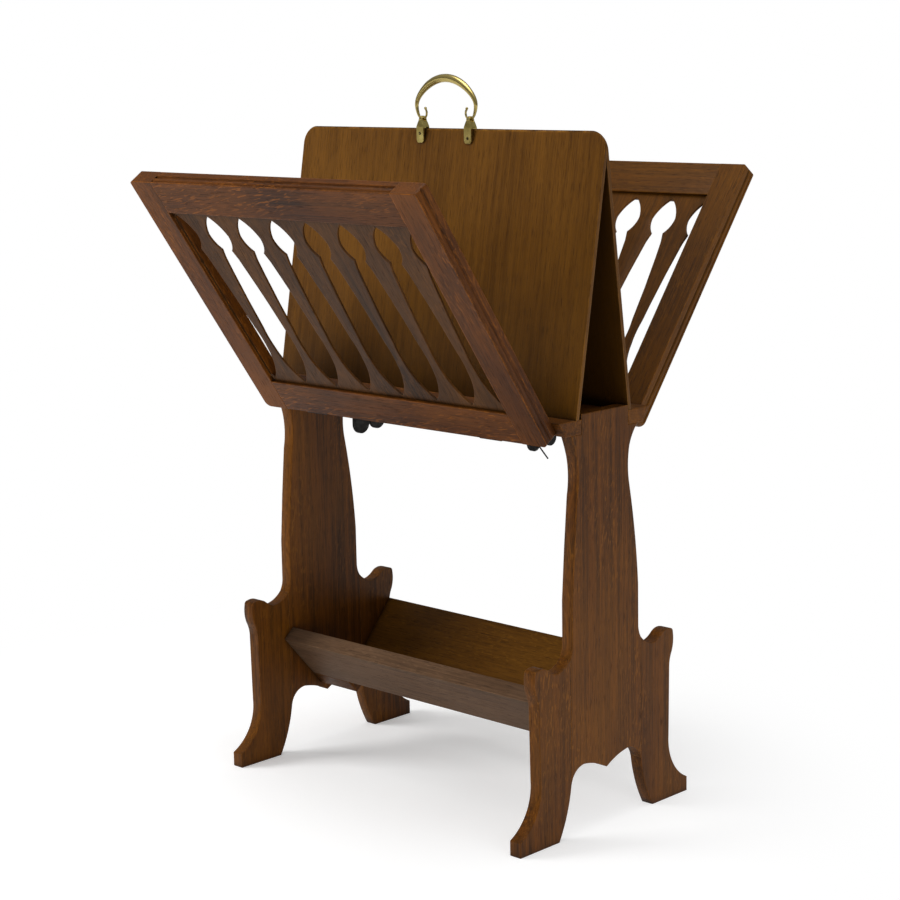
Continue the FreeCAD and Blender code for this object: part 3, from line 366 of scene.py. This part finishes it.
# %% Give every board its oak
FRONT_WING_LEAN, REAR_WING_LEAN = math.radians(34.5), math.radians(37.2)
DIVIDER_FRONT_LEAN, DIVIDER_REAR_LEAN = math.radians(10.0), math.radians(7.3)
UPRIGHT = (0.0, 0.0, 0.0)
ALONG = (0.0, math.radians(90.0), 0.0)
FRONT_WING_UP = (-FRONT_WING_LEAN, 0.0, 0.0)
REAR_WING_UP = (REAR_WING_LEAN, 0.0, 0.0)
DIVIDER_FRONT_UP = (DIVIDER_FRONT_LEAN, 0.0, 0.0)
DIVIDER_REAR_UP = (-DIVIDER_REAR_LEAN, 0.0, 0.0)
GRAIN_OF_BOARD = {
    "end_plank": UPRIGHT, "front_leg": UPRIGHT, "rear_leg": UPRIGHT,
    "trough_front_board": ALONG, "trough_rear_board": ALONG, "trough_cleat": ALONG,
    "shelf_board": ALONG, "divider_front_board": DIVIDER_FRONT_UP, "divider_rear_board": DIVIDER_REAR_UP,
    "divider_ridge_batten": ALONG, "top_rail": ALONG, "bottom_rail": ALONG,
}


def grain_for(name):
    for ending, grain in GRAIN_OF_BOARD.items():
        if name.endswith(ending):
            return grain
    return FRONT_WING_UP if name.startswith("front_wing") else REAR_WING_UP


def finish_for(name):
    if name.startswith("trough_front"):
        return {"stain": "grey", "gloss": 0.5, "dust": 0.3}
    if name.startswith("divider"):
        # The hollow reach paints shade deep in the divider's hollow.
        return {"stain": "amber", "gloss": 0.34, "fleck": 0.15, "hollow_shade_reach": 0.16}
    if name.startswith("rear_wing"):
        return {"stain": "tawny"}
    if name.startswith("trough_rear"):
        return {"stain": "amber"}
    if name == "front_wing_fret_panel":
        return {"stain": "fret"}
    if name.startswith("front_wing"):
        return {"stain": "red", "fleck": 0.6}
    return {"stain": "brown", "fleck": 0.7}


def dress(node, material):
    """Put one material on a CAD piece in place of what it came with."""
    node.data.materials.clear()
    node.data.materials.append(material)


SEED_STEP, FIRST_SEED = 3.1, 0.7
slots = {entry["node"]: entry["material_slot"] for entry in frame["record"]["subparts"]}
boards = sorted(name for name, slot in slots.items() if slot.endswith("oak"))
for number, name in enumerate(boards):
    seed = SEED_STEP * number + FIRST_SEED
    dress(nodes[name], make_oak(f"oak_{name}", grain_for(name), seed, **finish_for(name)))
print("dressed", len(boards), "boards in oak")

# %% [markdown]
# ## Soft arrises
#
# CAD boards end in perfectly sharp arrises, which no plane leaves and no century spares. A Bevel
# modifier rounds them by less than a millimetre. It works best on few, flat faces, so Weld first
# joins the triangles' corners and a planar Decimate merges the triangles of each flat side. Where
# two boards meet flush, the rounded arrises leave the fine dark line that a joint shows.

# %% Soften the arrises
ARRIS = 0.0007
LUG_ARRIS = 0.0005
TOUCHING = 0.00002


def soften(node, radius, segments=2):
    weld = node.modifiers.new("weld", "WELD")
    weld.merge_threshold = TOUCHING
    planes = node.modifiers.new("planes", "DECIMATE")
    planes.decimate_type = "DISSOLVE"
    planes.angle_limit = math.radians(1.0)
    bevel = node.modifiers.new("arris", "BEVEL")
    bevel.width = radius
    bevel.segments = segments
    bevel.limit_method = "ANGLE"
    bevel.angle_limit = math.radians(35.0)
    bevel.use_clamp_overlap = True
    bevel.harden_normals = True


THIN_BOARDS = ("_fret_panel", "divider_front_board", "divider_rear_board")
for name in boards:
    soften(nodes[name], ARRIS * 0.5 if name.endswith(THIN_BOARDS) else ARRIS)
print("softened", len(boards), "boards by", ARRIS * 1000, "mm")

# %% [markdown]
# ## Brass and iron
#
# Old brass is bright where fingers rub it and brown in its hollows, so its colour and roughness
# follow a noise, and its worn edges shine. The bail is rubbed by every hand, so it is smoother and
# has no separate edge wear. Screws are the darkest, because no cloth gets into their slots. The
# irons are nearly black, with a dull, slightly uneven skin.

# %% Metals


def make_metal(name, bright, dull, metallic, smooth, rough, scale, edges=True, dents=0.15):
    material = bpy.data.materials.new(name)
    material.use_nodes = True
    tree = material.node_tree
    shader = tree.nodes["Principled BSDF"]
    where = tree.nodes.new("ShaderNodeTexCoord").outputs["Object"]
    stains = add_node(tree, "ShaderNodeTexNoise", Vector=where, Scale=scale, Detail=5.0, Roughness=0.6)
    patina = ramp(tree, stains.outputs["Fac"], [(0.35, 0.0), (0.68, 1.0)])
    colour = mix_colour(tree, patina, bright, dull)
    spread = add_node(tree, "ShaderNodeMapRange", Value=patina, To_Min=smooth, To_Max=rough)
    tree.links.new(spread.outputs[0], shader.inputs["Roughness"])
    bump = add_node(tree, "ShaderNodeBump", Strength=dents, Distance=0.0002, Height=stains.outputs["Fac"])
    if edges:
        worn = add_node(tree, "ShaderNodeGroup", {"node_tree": edge_wear}, Vector=where, Amount=0.8,
                        Reach=0.0007, Patch_Scale=140.0).outputs
        colour = mix_colour(tree, worn["Mask"], colour, bright)
        tree.links.new(worn["Normal"], bump.inputs["Normal"])
    tree.links.new(colour, shader.inputs["Base Color"])
    tree.links.new(bump.outputs["Normal"], shader.inputs["Normal"])
    shader.inputs["Metallic"].default_value = metallic
    return material


aged_brass = make_metal("aged_brass", (0.70, 0.56, 0.19, 1.0), (0.40, 0.30, 0.085, 1.0),
                        metallic=1.0, smooth=0.24, rough=0.38, scale=60.0)
held_brass = make_metal("held_brass", (0.66, 0.53, 0.19, 1.0), (0.50, 0.38, 0.12, 1.0),
                        metallic=1.0, smooth=0.20, rough=0.28, scale=12.0, edges=False, dents=0.03)
dark_brass = make_metal("dark_brass", (0.10, 0.07, 0.03, 1.0), (0.02, 0.014, 0.008, 1.0),
                        metallic=0.8, smooth=0.32, rough=0.55, scale=160.0)
black_iron = make_metal("black_iron", (0.020, 0.019, 0.018, 1.0), (0.007, 0.006, 0.006, 1.0),
                        metallic=0.6, smooth=0.45, rough=0.7, scale=120.0)
for name, slot in slots.items():
    if slot == "brass":
        dress(nodes[name], aged_brass)
    elif slot == "iron":
        dress(nodes[name], black_iron)
    if name.endswith("handle_lug"):
        soften(nodes[name], LUG_ARRIS, segments=3)
print("dressed", sum(slot in ("brass", "iron") for slot in slots.values()), "metal pieces")

# %% [markdown]
# ## The bail's round rod
#
# CAD made the rod from many-sided sections. Subdivision takes them as a cage and rounds them
# between its corners, after Weld has joined the sides into one skin. Small balls finish the tips.

# %% Round the bail
bodies = frame["record"]["behaviour"]["bodies"]
bodies_of = {node: body for body, members in bodies.items() for node in members}
bail = nodes["bail_handle"]
dress(bail, held_brass)
bail.data.shade_smooth()
bail.modifiers.new("weld", "WELD").merge_threshold = TOUCHING
rounding = bail.modifiers.new("rounding", "SUBSURF")
rounding.levels = rounding.render_levels = 1
TIP_ALONG, TIP_OUT, TIP_UP, TIP_RADIUS = 0.0378, -0.0003, 0.9213, 0.0019
for side, sign in (("left", -1), ("right", 1)):
    mesh = bpy.data.meshes.new(f"bail_{side}_tip")
    ball = bmesh.new()
    bmesh.ops.create_uvsphere(ball, u_segments=20, v_segments=12, radius=TIP_RADIUS)
    ball.to_mesh(mesh)
    ball.free()
    mesh.shade_smooth()
    mesh.materials.append(held_brass)
    tip = bpy.data.objects.new(f"bail_{side}_tip", mesh)
    bpy.context.scene.collection.objects.link(tip)
    tip.location = (TIP_ALONG * sign, TIP_OUT, TIP_UP)
    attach(tip, bodies_of["bail_handle"])
print("bail rounded and its two tips made")

# %% [markdown]
# ## Slotted screws
#
# A slotted head is a shallow dome with a channel across it. It is drawn row by row: every row runs
# across the head at one distance from the middle, and the two rows beside the slot are drawn
# twice, once at the dome's height and once at the slot's floor, so that the slot has upright
# walls. Each head finds its place on its piece: of the flat sides that face a given way, the
# largest one carries the screws, spread along X and down the side by shares of its extent. Heads
# on the lugs and irons stand proud. Those on the hinge leaves lie almost flush, so that the leaves
# can close over them.

# %% Screw heads
ROWS_A_SIDE = 5
POINTS_A_ROW = 12
FACES_ALIKE = 0.97


def screw_mesh(name, radius, rise):
    slot_half, skirt = radius * 0.14, rise + radius * 0.25
    floor = rise - radius * 0.32
    steps = [slot_half + (radius - slot_half) * math.sin(math.pi / 2 * step / ROWS_A_SIDE)
             for step in range(ROWS_A_SIDE + 1)]
    rows = [(-offset, None) for offset in reversed(steps)] + [(-slot_half, floor), (slot_half, floor)]
    rows += [(offset, None) for offset in steps]
    head = bmesh.new()
    lines = []
    for offset, level in rows:
        half = math.sqrt(max(radius ** 2 - offset ** 2, 0.0)) + radius * 0.002
        line = []
        for point in range(POINTS_A_ROW + 1):
            along = -half * math.cos(math.pi * point / POINTS_A_ROW)
            share = min(1.0, (along ** 2 + offset ** 2) / radius ** 2)
            height = rise * (1.0 - 0.55 * share) if level is None else level
            line.append(head.verts.new((along, offset, height)))
        lines.append(line)
    for one, other in zip(lines, lines[1:]):
        for a, b, c, d in zip(one, one[1:], other[1:], other):
            head.faces.new((a, b, c, d))
    rim = [line[-1] for line in lines] + [line[0] for line in reversed(lines)]
    foot = [head.verts.new((vert.co.x, vert.co.y, rise - skirt)) for vert in rim]
    for number in range(len(rim)):
        following = (number + 1) % len(rim)
        head.faces.new((rim[number], foot[number], foot[following], rim[following]))
    bmesh.ops.remove_doubles(head, verts=head.verts, dist=radius * 0.001)
    bmesh.ops.recalc_face_normals(head, faces=head.faces)
    mesh = bpy.data.meshes.new(name)
    head.to_mesh(mesh)
    head.free()
    return mesh


def largest_side(node, toward):
    """Corners of the largest flat side of a piece that faces a direction, with its normal."""
    toward = Vector(toward).normalized()
    groups = {}
    turn = node.matrix_world.to_3x3()
    for face in node.data.polygons:
        normal = (turn @ face.normal).normalized()
        if normal.dot(toward) > FACES_ALIKE:
            spot = node.matrix_world @ face.center
            key = tuple(round(value, 2) for value in normal) + (round(spot.dot(normal), 4),)
            groups.setdefault(key, []).append(face)
    best = max(groups.values(), key=lambda faces: sum(face.area for face in faces))
    corners = [node.matrix_world @ node.data.vertices[index].co for face in best for index in face.vertices]
    return corners, (turn @ best[0].normal).normalized()


def place_screws(node, toward, shares, radius, rise, material):
    """Set a screw head at each (share along X, share down the side) of the side found."""
    corners, normal = largest_side(node, toward)
    down = normal.cross(Vector((1.0, 0.0, 0.0)))
    down = -down if down.z > 0 else down
    low_x, high_x = min(c.x for c in corners), max(c.x for c in corners)
    low, high = min(c.dot(down) for c in corners), max(c.dot(down) for c in corners)
    plane = corners[0].dot(normal)
    for number, (along, fall) in enumerate(shares):
        middle = Vector((low_x + (high_x - low_x) * along, 0.0, 0.0)) + down * (low + (high - low) * fall)
        middle += normal * plane
        name = f"{node.name}_screw_{number + 1}"
        head = bpy.data.objects.new(name, screw_mesh(name, radius, rise))
        head.data.materials.append(material)
        bpy.context.scene.collection.objects.link(head)
        turn = math.radians(37.0 * (number + 1) + 23.0 * len(node.name))
        head.matrix_world = (Matrix.Translation(middle) @ normal.to_track_quat("Z", "Y").to_matrix().to_4x4()
                             @ Matrix.Rotation(turn, 4, "Z"))
        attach(head, bodies_of[node.name])
    return len(shares)


LUG_SCREW = {"radius": 0.0021, "rise": 0.0005, "material": dark_brass}
ARM_SCREW = {"radius": 0.0030, "rise": 0.0008, "material": black_iron}
LEAF_SCREW = {"radius": 0.0020, "rise": 0.0001, "material": dark_brass}
ARM_SHARES = ((0.16, 0.5), (0.84, 0.5))
LEAF_SHARES = ((0.15, 0.5), (0.5, 0.5), (0.85, 0.5))
STRAP_SIDES = ((0.0, -1.0, 0.2), (0.0, 1.0, 0.2))
UP = (0.0, 0.0, 1.0)

screws = 0
for side, fall in (("left", 0.36), ("right", 0.66)):
    for strap_side in STRAP_SIDES:
        screws += place_screws(nodes[f"{side}_handle_lug"], strap_side, ((0.5, fall),), **LUG_SCREW)
    for wing, inward, lean in (("front", 1.0, FRONT_WING_LEAN), ("rear", -1.0, REAR_WING_LEAN)):
        below = (0.0, inward * math.sin(lean), -math.cos(lean))
        inside = (0.0, inward * math.cos(lean), math.sin(lean))
        screws += place_screws(nodes[f"{wing}_{side}_stay_arm"], below, ARM_SHARES, **ARM_SCREW)
        for leaf, free_side in (("shelf", UP), ("wing", inside)):
            screws += place_screws(nodes[f"{wing}_{side}_hinge_{leaf}_leaf"], free_side, LEAF_SHARES,
                                   **LEAF_SCREW)
print("made", screws, "screw heads")

# %% [markdown]
# ## Floor, backdrop and light
#
# A cut-out on white still has a floor under it, because its feet cast a soft shadow. Near the
# stand the floor is a pale sheet that takes the light and the shadow. Farther away it fades into
# a surface that only glows at full white, so that no horizon shows. The world is white where the
# camera looks at it, and much dimmer as a lamp. The side lamps are hidden from reflections, because
# their mirror image would lie on the satin boards like a veil.

# %% Studio
FLOOR_HALF = 30.0
FLOOR_ALBEDO = 0.90
FLOOR_GLOW = 0.29
FLOOR_BOUNCE = 0.80
FADE_FROM, FADE_TO = 0.25, 0.88
FADE_CENTRE = (-0.20, -0.15, 0.0)


def camera_like_ray(tree):
    rays = tree.nodes.new("ShaderNodeLightPath").outputs
    return math_node(tree, "MAXIMUM", rays["Is Camera Ray"], rays["Is Transmission Ray"])


def make_floor():
    material = bpy.data.materials.new("studio_floor")
    material.use_nodes = True
    tree = material.node_tree
    shader = tree.nodes["Principled BSDF"]
    where = tree.nodes.new("ShaderNodeTexCoord").outputs["Object"]
    away = add_node(tree, "ShaderNodeVectorMath", {"operation": "DISTANCE"}, in_0=where,
                    in_1=FADE_CENTRE).outputs["Value"]
    fade = add_node(tree, "ShaderNodeMapRange", {"interpolation_type": "SMOOTHSTEP"}, Value=away,
                    From_Min=FADE_FROM, From_Max=FADE_TO).outputs[0]
    near = (FLOOR_ALBEDO, FLOOR_ALBEDO, FLOOR_ALBEDO, 1.0)
    tree.links.new(mix_colour(tree, fade, near, (0.0, 0.0, 0.0, 1.0)), shader.inputs["Base Color"])
    shader.inputs["Roughness"].default_value = 1.0
    shader.inputs["Specular IOR Level"].default_value = 0.0
    shader.inputs["Emission Color"].default_value = (1.0, 1.0, 1.0, 1.0)
    glow = add_node(tree, "ShaderNodeMapRange", Value=fade, To_Min=FLOOR_GLOW, To_Max=1.0).outputs[0]
    bounce = math_node(tree, "MULTIPLY", fade, FLOOR_BOUNCE)
    seen = camera_like_ray(tree)
    strength = math_node(tree, "ADD", math_node(tree, "MULTIPLY", seen, glow),
                         math_node(tree, "MULTIPLY", math_node(tree, "SUBTRACT", 1.0, seen), bounce))
    tree.links.new(strength, shader.inputs["Emission Strength"])
    mesh = bpy.data.meshes.new("studio_floor")
    mesh.from_pydata([(-FLOOR_HALF, -FLOOR_HALF, 0), (FLOOR_HALF, -FLOOR_HALF, 0),
                      (FLOOR_HALF, FLOOR_HALF, 0), (-FLOOR_HALF, FLOOR_HALF, 0)], [], [(0, 1, 2, 3)])
    mesh.materials.append(material)
    floor = bpy.data.objects.new("studio_floor", mesh)
    bpy.context.scene.collection.objects.link(floor)


def make_world(low, high):
    """White for the camera. As a lamp it is dim at the horizon and brighter overhead."""
    world = bpy.data.worlds.new("studio")
    world.use_nodes = True
    tree = world.node_tree
    background = tree.nodes["Background"]
    background.inputs["Color"].default_value = (1.0, 1.0, 1.0, 1.0)
    where = tree.nodes.new("ShaderNodeTexCoord").outputs["Generated"]
    height = add_node(tree, "ShaderNodeSeparateXYZ", Vector=where).outputs["Z"]
    fill = add_node(tree, "ShaderNodeMapRange", Value=height, To_Min=low, To_Max=high).outputs[0]
    strength = add_node(tree, "ShaderNodeMapRange", Value=camera_like_ray(tree), To_Min=fill, To_Max=1.0)
    tree.links.new(strength.outputs[0], background.inputs["Strength"])
    bpy.context.scene.world = world


def soft_box(name, place, aim, width, height, power, mirrored=True):
    light = bpy.data.lights.new(name, "AREA")
    light.shape = "RECTANGLE"
    light.size, light.size_y, light.energy = width, height, power
    lamp = bpy.data.objects.new(name, light)
    bpy.context.scene.collection.objects.link(lamp)
    lamp.location = place
    lamp.visible_glossy = mirrored
    lamp.rotation_euler = (Vector(aim) - Vector(place)).to_track_quat("-Z", "Y").to_euler()


make_floor()
make_world(low=0.14, high=0.45)
soft_box("front_key", (-2.7, -2.6, 1.7), (0.0, 0.0, 0.55), 1.9, 1.6, 120.0, mirrored=False)
soft_box("overhead", (0.2, -0.2, 3.2), (0.0, 0.0, 0.5), 1.8, 1.8, 31.0)
soft_box("right_fill", (2.6, -0.8, 0.3), (0.0, 0.0, 0.2), 1.6, 0.5, 24.0, mirrored=False)
bpy.context.scene.view_settings.view_transform = "Standard"
print("floor, world and", len(bpy.data.lights), "soft boxes set")
